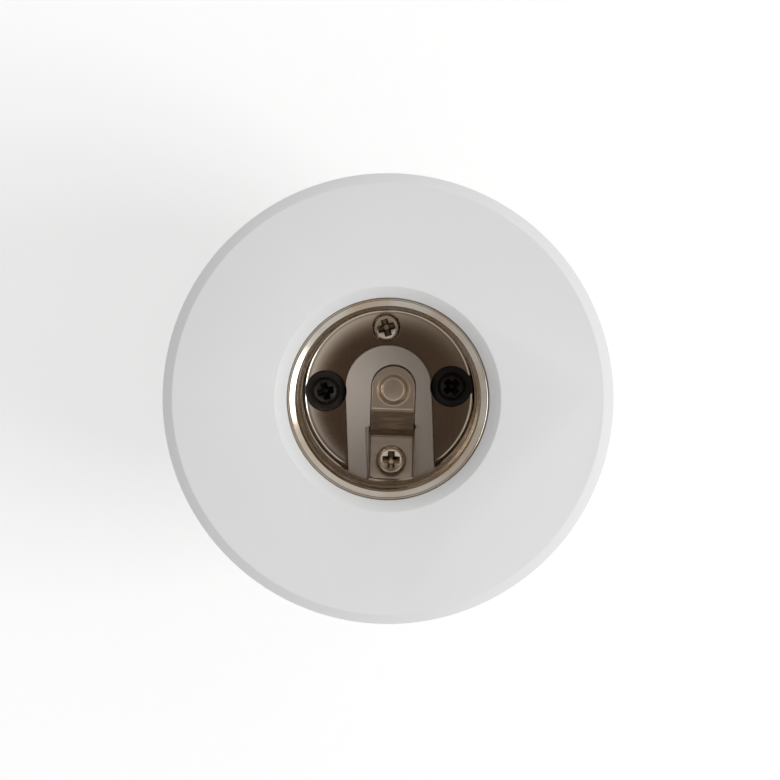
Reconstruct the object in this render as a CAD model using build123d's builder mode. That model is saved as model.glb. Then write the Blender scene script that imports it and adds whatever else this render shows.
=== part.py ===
from build123d import *
from math import atan2, cos, radians, sin, tan
import os

# Smart lamp socket: a lamp screws into the socket at the top and the cap below screws into a lamp holder.
# The origin is on the axis, where the metal cap leaves the housing. +Z points out of the socket's mouth.
# Lengths are millimetres and angles are degrees.

# White body
body_radius = 32.0
face_height = 76.0
seam_height = 50.0
shoulder_drop = 6.0
shoulder_blend = 8.0
neck_radius = 18.5
neck_chamfer = 1.2
wall = 2.2
face_chamfer = 1.45
seam_chamfer = 0.4

# Lap between cover and housing, with snap hooks
lap_height = 4.0
lap_clearance = 0.1
lip_thickness = 1.05
hook_count = 4
hook_width = 8.0
hook_height = 1.4
hook_rise = 0.3
hook_level = 1.6
hook_clearance = 0.1

# Mouth of the cover and the well that holds the socket
bevel_width = 1.6
bevel_depth = 1.7
well_wall = 1.8
well_floor = 2.0
well_clearance = 0.15

# Screw shell of the socket, rolled from sheet
thread_pitch = 25.4 / 7
shell_sheet = 0.4
shell_minor_radius = 12.55
thread_depth = 1.1
crest_land = 0.8
socket_turns = 4
rim_drop = 2.0
rim_width = 1.05
rim_height = 1.0
rim_round = 0.3
socket_depth = 25.4
plain_step = 0.35
window_clearance = 0.15

# Insulating contact block
block_base = 2.0
arch_bite = 0.05
arch_shift = 0.85
arch_rise = 2.6
slot_clearance = 0.36
slot_end_room = 0.2
slot_lip = 0.35
lip_clearance = 0.15
lip_end_room = 0.15
slot_overlap = 0.5
foot_slot_width = 7.4
foot_slot_start = 4.8
prong_bevel = 0.9
prong_past = 0.2
washer_clearance = 0.1
tower_radius = 2.9
tower_length = 6.4
tower_clearance = 0.3

# Sprung centre contact, cut and bent from strip
leaf_sheet = 0.5
leaf_width = 6.4
leaf_turn = 3.9
leaf_past_axis = 0.9
leaf_lift = 0.3
leaf_bend = 1.0
foot_back = 2.6
foot_tilt = 10.0
foot_drop = 0.5
foot_corner = 0.6
valley_reach = 3.9
crown_reach = 7.9
pocket_reach = 5.6
pocket_clearance = 0.3
dimple_radius = 2.35
dimple_top_radius = 1.35
dimple_rise = 0.9

# Terminal screws, with threaded bushes under the block
contact_screw_edge = 2.6
shell_screw_edge = 3.0
terminal_shank_radius = 1.25
terminal_shank_length = 5.2
contact_head_radius = 2.3
shell_head_radius = 2.15
terminal_head_height = 1.5
terminal_head_chamfer = 0.5
bush_radius = 2.1
bush_length = 4.2
bush_clearance = 0.03
bush_web = 1.0
screw_clearance = 0.2
thread_clearance = 0.04

# Black fixing screws with washer heads
fixing_edge = 3.45
fixing_shift = 0.7
fixing_shank_radius = 1.5
fixing_tip_gap = 0.8
washer_radius = 3.1
washer_thickness = 0.7
fixing_head_radius = 1.95
fixing_head_height = 1.3
fixing_boss_radius = 3.0
fixing_boss_end = 1.0

# Cross recess of every screw
recess_length = 2.4
recess_width = 0.7
recess_depth = 0.9

# Lamp cap
cap_radius = 13.1
cap_sheet = 0.4
cap_turns = 4
cap_thread_depth = 1.1
cap_collar = 3.0
cap_skirt = 1.1
cap_curl_drop = 1.6
cap_curl_radius = 10.6
spigot_length = 9.0
spigot_wall = 1.6
spigot_clearance = 0.1
insulator_depth = 3.4
insulator_clearance = 0.08
insulator_tip_radius = 5.8
insulator_tip_drop = 3.4
cap_contact_radius = 5.0
cap_contact_height = 1.5
cap_contact_chamfer = 0.6
cap_stem_radius = 2.0
cap_stem_clearance = 0.05

# Circuit board, resting on ribs in the housing and held down by the fixing bosses
board_drop = 8.2
board_thickness = 1.6
board_gap = 3.3
rib_count = 4
rib_thickness = 1.6
rib_seat = 2.2
rib_mid_level = 0.85

# Parts under the board; a place is a share of the board's radius each way
relay_width = 15.4
relay_length = 19.0
relay_height = 15.2
relay_place = (-0.453, 0.0)
transformer_width = 13.0
transformer_core = 5.0
transformer_height = 11.5
transformer_bobbin = 10.0
transformer_place = (0.472, 0.302)
film_width = 13.0
film_length = 6.0
film_height = 11.0
film_shift = -2.0
film_gap = 1.4
smoothing_radius = 4.0
smoothing_height = 12.0
smoothing_place = (0.415, -0.226)
output_radius = 3.15
output_height = 9.0
output_place = (0.057, -0.623)
varistor_radius = 4.5
varistor_thickness = 3.8
varistor_lead_length = 1.5
varistor_lead_spread = 2.5
varistor_place = (-0.283, -0.566)
fuse_radius = 1.9
fuse_height = 9.0
fuse_place = (0.453, -0.547)
lead_width = 0.8
bridge_width = 6.4
bridge_length = 4.8
bridge_height = 2.5
bridge_place = (0.057, -0.34)
case_chamfer = 0.6

# Parts on top of the board
radio_width = 12.0
radio_length = 16.0
radio_board = 0.8
radio_can_width = 9.0
radio_can_length = 11.0
radio_can_height = 2.2
radio_gap = 0.55
switch_size = 6.2
switch_height = 3.6
switch_inset = 0.9
light_width = 3.0
light_length = 2.0
light_height = 2.6
light_inset = 0.6

# Pairing button and light pipe in the housing wall
button_level = 1.8
button_radius = 3.5
button_proud = 0.9
button_clearance = 0.15
button_chamfer = 0.4
button_flange_radius = 4.2
button_flange_gap = 1.2
button_flange = 1.0
button_stem_radius = 1.4
plunger_radius = 1.4
plunger_proud = 1.6
plunger_depth = 1.0
plunger_clearance = 0.1
plunger_bore_depth = 2.4
pipe_angle = 20.0
pipe_radius = 1.5
pipe_proud = 0.3
pipe_clearance = 0.08
pipe_flange_radius = 2.3
pipe_flange_gap = 1.4
pipe_flange = 0.8
pipe_end_gap = 0.3

# Inner wires
wire_radius = 0.9
wire_contact = 0.05
neutral_wire_end_gap = 0.4

# Sizes and heights that follow from those above
skirt_inner = body_radius - wall
cover_inside = face_height - wall
rim_height_z = face_height - rim_drop
plain_radius = shell_minor_radius + plain_step
shell_root_radius = shell_minor_radius + thread_depth
shell_outer_radius = shell_root_radius + shell_sheet
rim_outer_radius = shell_outer_radius + shell_sheet / 2
rim_inner_radius = rim_outer_radius - rim_width
well_radius = rim_outer_radius + well_clearance
well_outer = well_radius + well_wall
contact_screw_reach = plain_radius - contact_screw_edge
shell_screw_reach = plain_radius - shell_screw_edge
leaf_length = contact_screw_reach + leaf_past_axis
fixing_span = plain_radius - fixing_edge
arch_radius = fixing_span - washer_radius + arch_bite
floor_top = rim_height_z - socket_depth
block_top = floor_top - shell_sheet
well_top = block_top - block_base
well_bottom = well_top - well_floor
arch_top = floor_top + arch_rise
window_top = arch_top + window_clearance
board_top = well_bottom - board_drop
board_bottom = board_top - board_thickness
board_radius = skirt_inner - board_gap
shoulder_height = board_top - shoulder_drop
fixing_shank_length = floor_top - board_top - fixing_boss_end - fixing_tip_gap
switch_front = board_radius - switch_inset
light_front = board_radius - light_inset
button_height = board_top + button_level
crest_flank = (thread_pitch - crest_land) / 2
lip_outer = skirt_inner + lip_thickness
rebate_radius = lip_outer + lap_clearance
hook_reach = lip_outer + hook_rise

# Planes that the socket's pieces are drawn on
leaf_plan = Plane(
    origin=(0, -contact_screw_reach, 0),
    x_dir=(cos(radians(leaf_turn)), -sin(radians(leaf_turn)), 0),
    z_dir=(0, 0, 1),
)
leaf_side = Plane(origin=leaf_plan.origin, x_dir=leaf_plan.y_dir, z_dir=leaf_plan.x_dir)
contact_seat = Plane(
    origin=(0, -contact_screw_reach, block_top - foot_drop),
    x_dir=leaf_plan.x_dir,
    z_dir=leaf_plan.y_dir * sin(radians(foot_tilt)) + Vector(0, 0, 1) * cos(radians(foot_tilt)),
)
shell_seat = Plane(origin=(0, shell_screw_reach, block_top), x_dir=(1, 0, 0), z_dir=(0, 0, 1))
fixing_places = [(-fixing_span, fixing_shift), (fixing_span, fixing_shift)]


def wall_plane(angle):
    """Plane through the axis at the button's height, facing out of the wall at an angle from the front."""
    turn = radians(angle)
    return Plane(
        origin=(0, 0, button_height),
        x_dir=(cos(turn), sin(turn), 0),
        z_dir=(sin(turn), -cos(turn), 0),
    )


def on_board(place):
    """Point on the board from a place given as shares of its radius."""
    return (place[0] * board_radius, place[1] * board_radius)


def write(part, name):
    """Label a finished piece and write it as its own file."""
    part.label = name
    export_step(part, f"parts/{name}.step")


def arch_outline(margin):
    """Plan of the block's arch: round at the top, straight prongs down to the shell's wall."""
    with Locations((0, arch_shift)):
        Circle(arch_radius + margin)
        Rectangle(
            2 * (arch_radius + margin),
            2 * plain_radius,
            align=(Align.CENTER, Align.MAX),
        )


def leaf_slot(clearance, end_room):
    """Plan of the slot round the leaf's blade, with room past its round end."""
    with Locations((0, leaf_length + end_room)):
        Circle(leaf_width / 2 + clearance)
        Rectangle(
            leaf_width + 2 * clearance,
            end_room + leaf_past_axis + foot_slot_start + slot_overlap,
            align=(Align.CENTER, Align.MAX),
        )


def cross_recess():
    """Cross shape of a screwdriver recess."""
    Rectangle(recess_length, recess_width)
    Rectangle(recess_width, recess_length)


os.makedirs("parts", exist_ok=True)

# Top cover: flat face, chamfered rim, bevelled mouth and the well, moulded in one
with BuildPart() as top_cover:
    with BuildSketch(Plane.XZ):
        with BuildLine():
            Polyline(
                (0, well_bottom),
                (well_outer, well_bottom),
                (well_outer, cover_inside),
                (skirt_inner, cover_inside),
                (skirt_inner, seam_height + lap_height + lap_clearance),
                (rebate_radius, seam_height + lap_height + lap_clearance),
                (rebate_radius, seam_height),
                (body_radius, seam_height),
                (body_radius, face_height - face_chamfer),
                (body_radius - face_chamfer, face_height),
                (well_radius + bevel_width, face_height),
                (well_radius, face_height - bevel_depth),
                (well_radius, well_top),
                (0, well_top),
                close=True,
            )
        make_face()
    revolve(axis=Axis.Z)
    # Bosses for the black screws, standing on the circuit board
    with BuildSketch(Plane.XY.offset(board_top)):
        with Locations(*fixing_places):
            Circle(fixing_boss_radius)
    extrude(amount=well_bottom - board_top)
    with BuildSketch(Plane.XY.offset(board_top + fixing_boss_end)):
        with Locations(*fixing_places):
            Circle(fixing_shank_radius + thread_clearance)
    extrude(amount=well_top - board_top, mode=Mode.SUBTRACT)
    # Openings in the well's floor for the two terminal towers
    for seat in (contact_seat, shell_seat):
        with BuildSketch(seat):
            Circle(tower_radius + tower_clearance)
        extrude(amount=-(block_base + well_floor) * 2, mode=Mode.SUBTRACT)
    # Pockets inside the skirt for the snap hooks
    with BuildSketch(Plane.XY.offset(seam_height + hook_level - hook_clearance)):
        with PolarLocations(0, hook_count):
            Rectangle(2 * hook_reach + 2 * hook_clearance, hook_width + 2 * hook_clearance)
        Circle(skirt_inner, mode=Mode.SUBTRACT)
    extrude(amount=hook_height + 2 * hook_clearance, mode=Mode.SUBTRACT)
write(top_cover.part, "top_cover")

# Lower housing: cylinder, blended shoulder, cone to the neck, and the spigot that carries the cap
cone_angle = atan2(body_radius - neck_radius, shoulder_height)
cone_slope = tan(cone_angle)
blend_run = shoulder_blend * tan(cone_angle / 2)
cone_wall = wall / cos(cone_angle)
cap_inner = cap_radius - cap_thread_depth - cap_sheet
spigot_radius = cap_inner - spigot_clearance
spigot_inner = spigot_radius - spigot_wall
bend_low_z = shoulder_height - blend_run * cos(cone_angle)
bend_high_z = shoulder_height + blend_run
inner_corner_z = (skirt_inner + cone_wall - neck_radius) / cone_slope
solder_radius = cap_inner - wire_radius - wire_contact


def cone_radius(height):
    """Outside radius of the housing's cone at a height."""
    return neck_radius + height * cone_slope


with BuildPart() as lower_housing:
    with BuildSketch(Plane.XZ):
        with BuildLine():
            blend_start = (cone_radius(bend_low_z), bend_low_z)
            blend_end = (body_radius, bend_high_z)
            RadiusArc(blend_start, blend_end, -shoulder_blend)
            Polyline(
                blend_end,
                (body_radius, seam_height - seam_chamfer),
                (body_radius - seam_chamfer, seam_height),
                (lip_outer, seam_height),
                (lip_outer, seam_height + lap_height),
                (skirt_inner, seam_height + lap_height),
                (skirt_inner, inner_corner_z),
                (cone_radius(wall) - cone_wall, wall),
                (spigot_inner, wall),
                (spigot_inner, -spigot_length),
                (spigot_radius, -spigot_length),
                (spigot_radius, 0),
                (neck_radius - neck_chamfer, 0),
                (cone_radius(neck_chamfer), neck_chamfer),
                blend_start,
            )
        make_face()
    revolve(axis=Axis.Z)
    # Ribs under the edge of the circuit board, each reaching to the middle of the wall
    rib_inner = board_radius - rib_seat
    rib_mid_z = board_bottom * rib_mid_level
    rib_foot_z = (rib_inner - neck_radius + cone_wall / 2) / cone_slope
    for rib in range(rib_count):
        rib_turn = 360 * (rib + 0.5) / rib_count
        with BuildSketch(Plane.XZ.rotated((0, 0, rib_turn))):
            with BuildLine():
                Polyline(
                    (rib_inner, rib_foot_z),
                    (cone_radius(rib_mid_z) - cone_wall / 2, rib_mid_z),
                    (min(cone_radius(board_bottom), body_radius) - cone_wall / 2, board_bottom),
                    (rib_inner, board_bottom),
                    close=True,
                )
            make_face()
        extrude(amount=rib_thickness / 2, both=True)
    # Snap hooks on the lip
    with BuildSketch(Plane.XY.offset(seam_height + hook_level)):
        with PolarLocations(0, hook_count):
            Rectangle(2 * hook_reach, hook_width)
        Circle(skirt_inner, mode=Mode.SUBTRACT)
    extrude(amount=hook_height)
    # Groove for the wire that the spigot clamps against the cap
    with BuildSketch(Plane.XY.offset(-spigot_length)):
        with Locations((0, solder_radius)):
            Circle(wire_radius + wire_contact)
    extrude(amount=spigot_length + wall, mode=Mode.SUBTRACT)
    # Holes for the button and the light pipe
    with BuildSketch(wall_plane(0)):
        Circle(button_radius + button_clearance)
    extrude(amount=2 * body_radius, mode=Mode.SUBTRACT)
    with BuildSketch(wall_plane(pipe_angle)):
        Circle(pipe_radius + pipe_clearance)
    extrude(amount=2 * body_radius, mode=Mode.SUBTRACT)
write(lower_housing.part, "lower_housing")

# Screw shell of the socket: rolled rim, thread rings, plain lower wall and a floor with a window
with BuildPart() as socket_shell:
    thread_top = rim_height_z - rim_height
    thread_end = thread_top - socket_turns * thread_pitch
    rings = []
    for turn in range(socket_turns):
        crest_z = thread_top - turn * thread_pitch - crest_flank
        rings.append((shell_minor_radius, crest_z))
        rings.append((shell_minor_radius, crest_z - crest_land))
        rings.append((shell_root_radius, crest_z - crest_land - crest_flank))
    rings[-1] = (plain_radius, thread_end)
    with BuildSketch(Plane.XZ):
        with BuildLine():
            Polyline(
                (rim_inner_radius, rim_height_z - rim_height),
                (rim_inner_radius, rim_height_z - rim_round),
                (rim_inner_radius + rim_round, rim_height_z),
                (rim_outer_radius - rim_round, rim_height_z),
                (rim_outer_radius, rim_height_z - rim_round),
                (rim_outer_radius, rim_height_z - rim_height),
                (shell_outer_radius, rim_height_z - rim_height),
                (shell_outer_radius, thread_end),
                (plain_radius + shell_sheet, thread_end),
                (plain_radius + shell_sheet, block_top),
                (0, block_top),
                (0, floor_top),
                (plain_radius, floor_top),
                *reversed(rings),
                close=True,
            )
        make_face()
    revolve(axis=Axis.Z)
    # Window that lets the block's arch through the floor
    with BuildSketch(Plane.XY.offset(block_top)):
        arch_outline(window_clearance)
    extrude(amount=window_top - block_top, mode=Mode.SUBTRACT)
    # Holes for the fixing screws and the shell screw
    with BuildSketch(Plane.XY.offset(block_top)):
        with Locations(*fixing_places):
            Circle(fixing_shank_radius + screw_clearance)
        with Locations((0, shell_screw_reach)):
            Circle(terminal_shank_radius + screw_clearance)
    extrude(amount=shell_sheet, mode=Mode.SUBTRACT)
write(socket_shell.part, "socket_shell")

# Contact block: round base under the shell's floor, arch through its window, slot for the leaf, two towers
with BuildPart() as contact_block:
    with BuildSketch(Plane.XY.offset(well_top)):
        Circle(well_radius - well_clearance)
    extrude(amount=block_base)
    with BuildSketch(Plane.XY.offset(block_top)):
        arch_outline(0)
        Circle(plain_radius + shell_sheet + prong_past, mode=Mode.INTERSECT)
    extrude(amount=arch_top - block_top)
    # Slot that follows the leaf's blade, closer at the top, and a straight one round its riser and foot
    with BuildSketch(leaf_plan.offset(block_top)):
        leaf_slot(slot_clearance, slot_end_room)
    extrude(amount=arch_top - slot_lip - block_top, mode=Mode.SUBTRACT)
    with BuildSketch(leaf_plan.offset(arch_top - slot_lip)):
        leaf_slot(lip_clearance, lip_end_room)
    extrude(amount=slot_lip, mode=Mode.SUBTRACT)
    with BuildSketch(Plane.XY.offset(block_top)):
        with Locations((0, -foot_slot_start)):
            Rectangle(foot_slot_width, 2 * plain_radius, align=(Align.CENTER, Align.MAX))
    extrude(amount=arch_top - block_top, mode=Mode.SUBTRACT)
    # Bevel on the right prong's inner edge, beside the foot
    with BuildSketch(Plane.XZ.offset(foot_slot_start)):
        with BuildLine():
            Polyline(
                (foot_slot_width / 2, arch_top - prong_bevel),
                (foot_slot_width / 2 + prong_bevel, arch_top),
                (foot_slot_width / 2, arch_top),
                close=True,
            )
        make_face()
    extrude(amount=2 * plain_radius, mode=Mode.SUBTRACT)
    # Room for the fixing screws' washers beside the arch
    with BuildSketch(Plane.XY.offset(block_top)):
        with Locations(*fixing_places):
            Circle(washer_radius + washer_clearance)
    extrude(amount=arch_top - block_top, mode=Mode.SUBTRACT)
    # Sloping pocket for the leaf's foot
    with BuildSketch(contact_seat):
        with Locations((0, pocket_reach)):
            Rectangle(
                leaf_width + 2 * pocket_clearance,
                pocket_reach + foot_back + pocket_clearance,
                align=(Align.CENTER, Align.MAX),
            )
    extrude(amount=block_base, mode=Mode.SUBTRACT)
    # Tower, bush bore and screw hole under each terminal screw
    for seat in (contact_seat, shell_seat):
        with BuildSketch(seat.offset(-bush_web)):
            Circle(tower_radius)
        extrude(amount=-(tower_length - bush_web))
        with BuildSketch(seat.offset(-bush_web)):
            Circle(bush_radius + bush_clearance)
        extrude(amount=-tower_length, mode=Mode.SUBTRACT)
        with BuildSketch(seat):
            Circle(terminal_shank_radius + screw_clearance)
        extrude(amount=-tower_length, mode=Mode.SUBTRACT)
    with BuildSketch(Plane.XY.offset(well_top)):
        with Locations(*fixing_places):
            Circle(fixing_shank_radius + screw_clearance)
    extrude(amount=block_base, mode=Mode.SUBTRACT)
write(contact_block.part, "contact_block")

# Centre contact: strip bent from a screwed foot up to a flat blade with a pressed dimple
blade_top = arch_top + leaf_lift
with BuildPart() as centre_contact:
    blade_mid = blade_top - leaf_sheet / 2
    tilt_slope = tan(radians(foot_tilt))
    foot_mid = contact_seat.origin.Z + leaf_sheet / 2 / cos(radians(foot_tilt))
    with BuildSketch(leaf_side):
        with BuildLine():
            FilletPolyline(
                (-foot_back, foot_mid + foot_back * tilt_slope),
                (valley_reach, foot_mid - valley_reach * tilt_slope),
                (crown_reach, blade_mid),
                (leaf_length + leaf_width / 2, blade_mid),
                radius=leaf_bend,
            )
        trace(line_width=leaf_sheet)
    extrude(amount=leaf_width / 2, both=True)
    with BuildSketch(leaf_plan) as leaf_outline:
        with Locations((0, leaf_length)):
            Circle(leaf_width / 2)
        with Locations((0, -foot_back)):
            Rectangle(leaf_width, leaf_length + foot_back, align=(Align.CENTER, Align.MIN))
        fillet(leaf_outline.vertices().group_by(Axis.Y)[0], radius=foot_corner)
    extrude(amount=face_height, mode=Mode.INTERSECT)
    with BuildSketch(contact_seat):
        Circle(terminal_shank_radius + screw_clearance)
    extrude(amount=2 * leaf_sheet, mode=Mode.SUBTRACT)
    with Locations(leaf_plan.location * Location((0, leaf_length, blade_top))):
        Cone(
            dimple_radius,
            dimple_top_radius,
            dimple_rise,
            align=(Align.CENTER, Align.CENTER, Align.MIN),
        )
    with Locations(leaf_plan.location * Location((0, leaf_length, blade_top - leaf_sheet))):
        Cone(
            dimple_radius,
            dimple_top_radius,
            dimple_rise,
            align=(Align.CENTER, Align.CENTER, Align.MIN),
            mode=Mode.SUBTRACT,
        )
write(centre_contact.part, "centre_contact")


def terminal_screw(seat, clamped, head_radius):
    """Pan head screw on a seat, clamping a sheet of the given thickness."""
    with BuildPart() as screw:
        head_seat = seat.offset(clamped)
        with BuildSketch(head_seat):
            Circle(head_radius)
        extrude(amount=terminal_head_height)
        crown = screw.faces().sort_by(Axis(seat.origin, seat.z_dir))[-1]
        chamfer(crown.edges(), length=terminal_head_chamfer)
        with BuildSketch(head_seat):
            Circle(terminal_shank_radius)
        extrude(amount=-terminal_shank_length)
        with BuildSketch(head_seat.offset(terminal_head_height)):
            cross_recess()
        extrude(amount=-recess_depth, mode=Mode.SUBTRACT)
    return screw.part


# Terminal screws and the threaded bushes that they pull against the block
write(terminal_screw(contact_seat, leaf_sheet, contact_head_radius), "contact_screw")
write(terminal_screw(shell_seat, shell_sheet, shell_head_radius), "shell_screw")
for seat, name in ((contact_seat, "live_terminal"), (shell_seat, "neutral_terminal")):
    with BuildPart() as bush:
        with BuildSketch(seat.offset(-bush_web)):
            Circle(bush_radius)
            Circle(terminal_shank_radius + thread_clearance, mode=Mode.SUBTRACT)
        extrude(amount=-bush_length)
    write(bush.part, name)

# Black fixing screws, which hold the shell and the block in the well
with BuildPart() as fixing_screws:
    with BuildSketch(Plane.XY.offset(floor_top)):
        with Locations(*fixing_places):
            Circle(washer_radius)
    extrude(amount=washer_thickness)
    with BuildSketch(Plane.XY.offset(floor_top)):
        with Locations(*fixing_places):
            Circle(fixing_head_radius)
    extrude(amount=washer_thickness + fixing_head_height)
    with BuildSketch(Plane.XY.offset(floor_top)):
        with Locations(*fixing_places):
            Circle(fixing_shank_radius)
    extrude(amount=-fixing_shank_length)
    with BuildSketch(Plane.XY.offset(floor_top + washer_thickness + fixing_head_height)):
        with Locations(*fixing_places):
            cross_recess()
    extrude(amount=-recess_depth, mode=Mode.SUBTRACT)
write(fixing_screws.part, "fixing_screws")

# Lamp cap shell: plain collar against the neck, thread rings, and an end curled in over the insulator
cap_root_radius = cap_radius - cap_thread_depth
cap_thread_top = -cap_collar - crest_flank
cap_thread_end = cap_thread_top - cap_turns * thread_pitch
curl_top = cap_thread_end - cap_skirt
curl_end = curl_top - cap_curl_drop
with BuildPart() as cap_shell:
    rings = [(cap_root_radius, cap_thread_top)]
    for turn in range(cap_turns):
        root_z = cap_thread_top - turn * thread_pitch
        rings.append((cap_radius, root_z - crest_flank))
        rings.append((cap_radius, root_z - crest_flank - crest_land))
        rings.append((cap_root_radius, root_z - thread_pitch))
    with BuildSketch(Plane.XZ):
        with BuildLine():
            Polyline(
                (cap_inner, 0),
                (cap_radius, 0),
                (cap_radius, -cap_collar),
                *rings,
                (cap_root_radius, curl_top),
                (cap_curl_radius, curl_end),
                (cap_curl_radius - cap_sheet, curl_end),
                (cap_curl_radius - cap_sheet, curl_top),
                (cap_inner, curl_top),
                close=True,
            )
        make_face()
    revolve(axis=Axis.Z)
write(cap_shell.part, "cap_shell")

# Cap insulator: plug behind the curled end, tapering to the contact
insulator_radius = cap_inner - insulator_clearance
insulator_top = curl_top + insulator_depth
insulator_neck = cap_curl_radius - cap_sheet - insulator_clearance
insulator_tip = curl_end - insulator_tip_drop
with BuildPart() as cap_insulator:
    with BuildSketch(Plane.XZ):
        with BuildLine():
            Polyline(
                (cap_stem_radius + cap_stem_clearance, insulator_top),
                (insulator_radius, insulator_top),
                (insulator_radius, curl_top),
                (insulator_neck, curl_top),
                (insulator_neck, curl_end),
                (insulator_tip_radius, insulator_tip),
                (cap_stem_radius + cap_stem_clearance, insulator_tip),
                close=True,
            )
        make_face()
    revolve(axis=Axis.Z)
write(cap_insulator.part, "cap_insulator")

# Cap contact: a rivet through the insulator
with BuildPart() as cap_contact:
    with BuildSketch(Plane.XY.offset(insulator_tip)):
        Circle(cap_contact_radius)
    extrude(amount=-cap_contact_height)
    chamfer(cap_contact.edges().group_by(Axis.Z)[0], length=cap_contact_chamfer)
    with BuildSketch(Plane.XY.offset(insulator_tip)):
        Circle(cap_stem_radius)
    extrude(amount=insulator_top - insulator_tip)
write(cap_contact.part, "cap_contact")

# Circuit board
with BuildPart() as circuit_board:
    with BuildSketch(Plane.XY.offset(board_bottom)):
        Circle(board_radius)
    extrude(amount=board_thickness)
write(circuit_board.part, "circuit_board")


def boxed_part(name, place, width, length, height):
    """Moulded case under the board, with its lower edges broken."""
    with BuildPart() as case:
        with BuildSketch(Plane.XY.offset(board_bottom)):
            with Locations(place):
                Rectangle(width, length)
        extrude(amount=-height)
        chamfer(case.faces().sort_by(Axis.Z)[0].edges(), length=case_chamfer)
    write(case.part, name)


def round_part(name, place, radius, height):
    """Upright round part under the board, with its lower edge broken."""
    with BuildPart() as can:
        with BuildSketch(Plane.XY.offset(board_bottom)):
            with Locations(place):
                Circle(radius)
        extrude(amount=-height)
        chamfer(can.edges().group_by(Axis.Z)[0], length=case_chamfer)
    write(can.part, name)


boxed_part("relay", on_board(relay_place), relay_width, relay_length, relay_height)
film_place = (film_shift, solder_radius + wire_radius + film_gap + film_length / 2)
boxed_part("film_capacitor", film_place, film_width, film_length, film_height)
boxed_part("bridge_rectifier", on_board(bridge_place), bridge_width, bridge_length, bridge_height)
round_part("smoothing_capacitor", on_board(smoothing_place), smoothing_radius, smoothing_height)
round_part("output_capacitor", on_board(output_place), output_radius, output_height)
round_part("fuse_resistor", on_board(fuse_place), fuse_radius, fuse_height)

# Transformer: winding on its bobbin, with the core round it
with BuildPart() as transformer:
    with BuildSketch(Plane.XY.offset(board_bottom)):
        with Locations(on_board(transformer_place)):
            Rectangle(transformer_bobbin, transformer_width)
    extrude(amount=-transformer_height)
    with BuildSketch(Plane.XY.offset(board_bottom)):
        with Locations(on_board(transformer_place)):
            Rectangle(transformer_width, transformer_core)
    extrude(amount=-transformer_height)
write(transformer.part, "transformer")

# Varistor: upright disc on two leads
with BuildPart() as varistor:
    varistor_x, varistor_y = on_board(varistor_place)
    varistor_z = board_bottom - varistor_lead_length - varistor_radius
    with BuildSketch(Plane.XZ.offset(-varistor_y)):
        with Locations((varistor_x, varistor_z)):
            Circle(varistor_radius)
    extrude(amount=varistor_thickness / 2, both=True)
    with BuildSketch(Plane.XY.offset(board_bottom)):
        with Locations((varistor_x, varistor_y)):
            with GridLocations(2 * varistor_lead_spread, 0, 2, 1):
                Rectangle(lead_width, lead_width)
    extrude(amount=-varistor_lead_length - varistor_radius)
write(varistor.part, "varistor")

# Radio module: a small board with a shield can
radio_place = (fixing_span + fixing_boss_radius + radio_gap + radio_width / 2, 0)
with BuildPart() as radio_module:
    with BuildSketch(Plane.XY.offset(board_top)):
        with Locations(radio_place):
            Rectangle(radio_width, radio_length)
    extrude(amount=radio_board)
    with BuildSketch(Plane.XY.offset(board_top + radio_board)):
        with Locations(radio_place):
            Rectangle(radio_can_width, radio_can_length)
    extrude(amount=radio_can_height)
write(radio_module.part, "radio_module")

# Tact switch lying on the board's front edge, with a bore for its plunger
switch_face = wall_plane(0).offset(switch_front)
with BuildPart() as tact_switch:
    with BuildSketch(Plane.XY.offset(board_top)):
        with Locations((0, -switch_front)):
            Rectangle(switch_size, switch_size, align=(Align.CENTER, Align.MIN))
    extrude(amount=switch_height)
    with BuildSketch(switch_face):
        Circle(plunger_radius + plunger_clearance)
    extrude(amount=-plunger_bore_depth, mode=Mode.SUBTRACT)
write(tact_switch.part, "tact_switch")

with BuildPart() as switch_plunger:
    with BuildSketch(switch_face.offset(plunger_proud)):
        Circle(plunger_radius)
    extrude(amount=-(plunger_proud + plunger_depth))
write(switch_plunger.part, "switch_plunger")

# Pairing button: cap in the wall, flange behind it, stem on the plunger
flange_front = skirt_inner - button_flange_gap
with BuildPart() as pair_button:
    with BuildSketch(wall_plane(0).offset(body_radius + button_proud)):
        Circle(button_radius)
    extrude(amount=-(body_radius + button_proud - flange_front))
    chamfer(pair_button.edges().group_by(Axis.Y)[0], length=button_chamfer)
    with BuildSketch(wall_plane(0).offset(flange_front)):
        Circle(button_flange_radius)
    extrude(amount=-button_flange)
    with BuildSketch(wall_plane(0).offset(flange_front - button_flange)):
        Circle(button_stem_radius)
    extrude(amount=-(flange_front - button_flange - switch_front - plunger_proud))
write(pair_button.part, "pair_button")

# Light pipe through the wall beside the button, and the light that it carries
pipe_plane = wall_plane(pipe_angle)
pipe_flange_front = skirt_inner - pipe_flange_gap
pipe_end = light_front + pipe_end_gap
with BuildPart() as light_pipe:
    with BuildSketch(pipe_plane.offset(pipe_end)):
        Circle(pipe_radius)
    extrude(amount=body_radius + pipe_proud - pipe_end)
    with BuildSketch(pipe_plane.offset(pipe_flange_front)):
        Circle(pipe_flange_radius)
    extrude(amount=-pipe_flange)
write(light_pipe.part, "light_pipe")

with BuildPart() as status_light:
    with BuildSketch(pipe_plane.offset(light_front)):
        with Locations((0, -button_level)):
            Rectangle(light_width, light_height, align=(Align.CENTER, Align.MIN))
    extrude(amount=-light_length)
write(status_light.part, "status_light")


# Wire from the cap contact straight up to the board
with BuildPart() as cap_live_wire:
    with BuildSketch(Plane.XY.offset(insulator_top)):
        Circle(wire_radius)
    extrude(amount=board_bottom - insulator_top)
write(cap_live_wire.part, "cap_live_wire")

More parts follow.
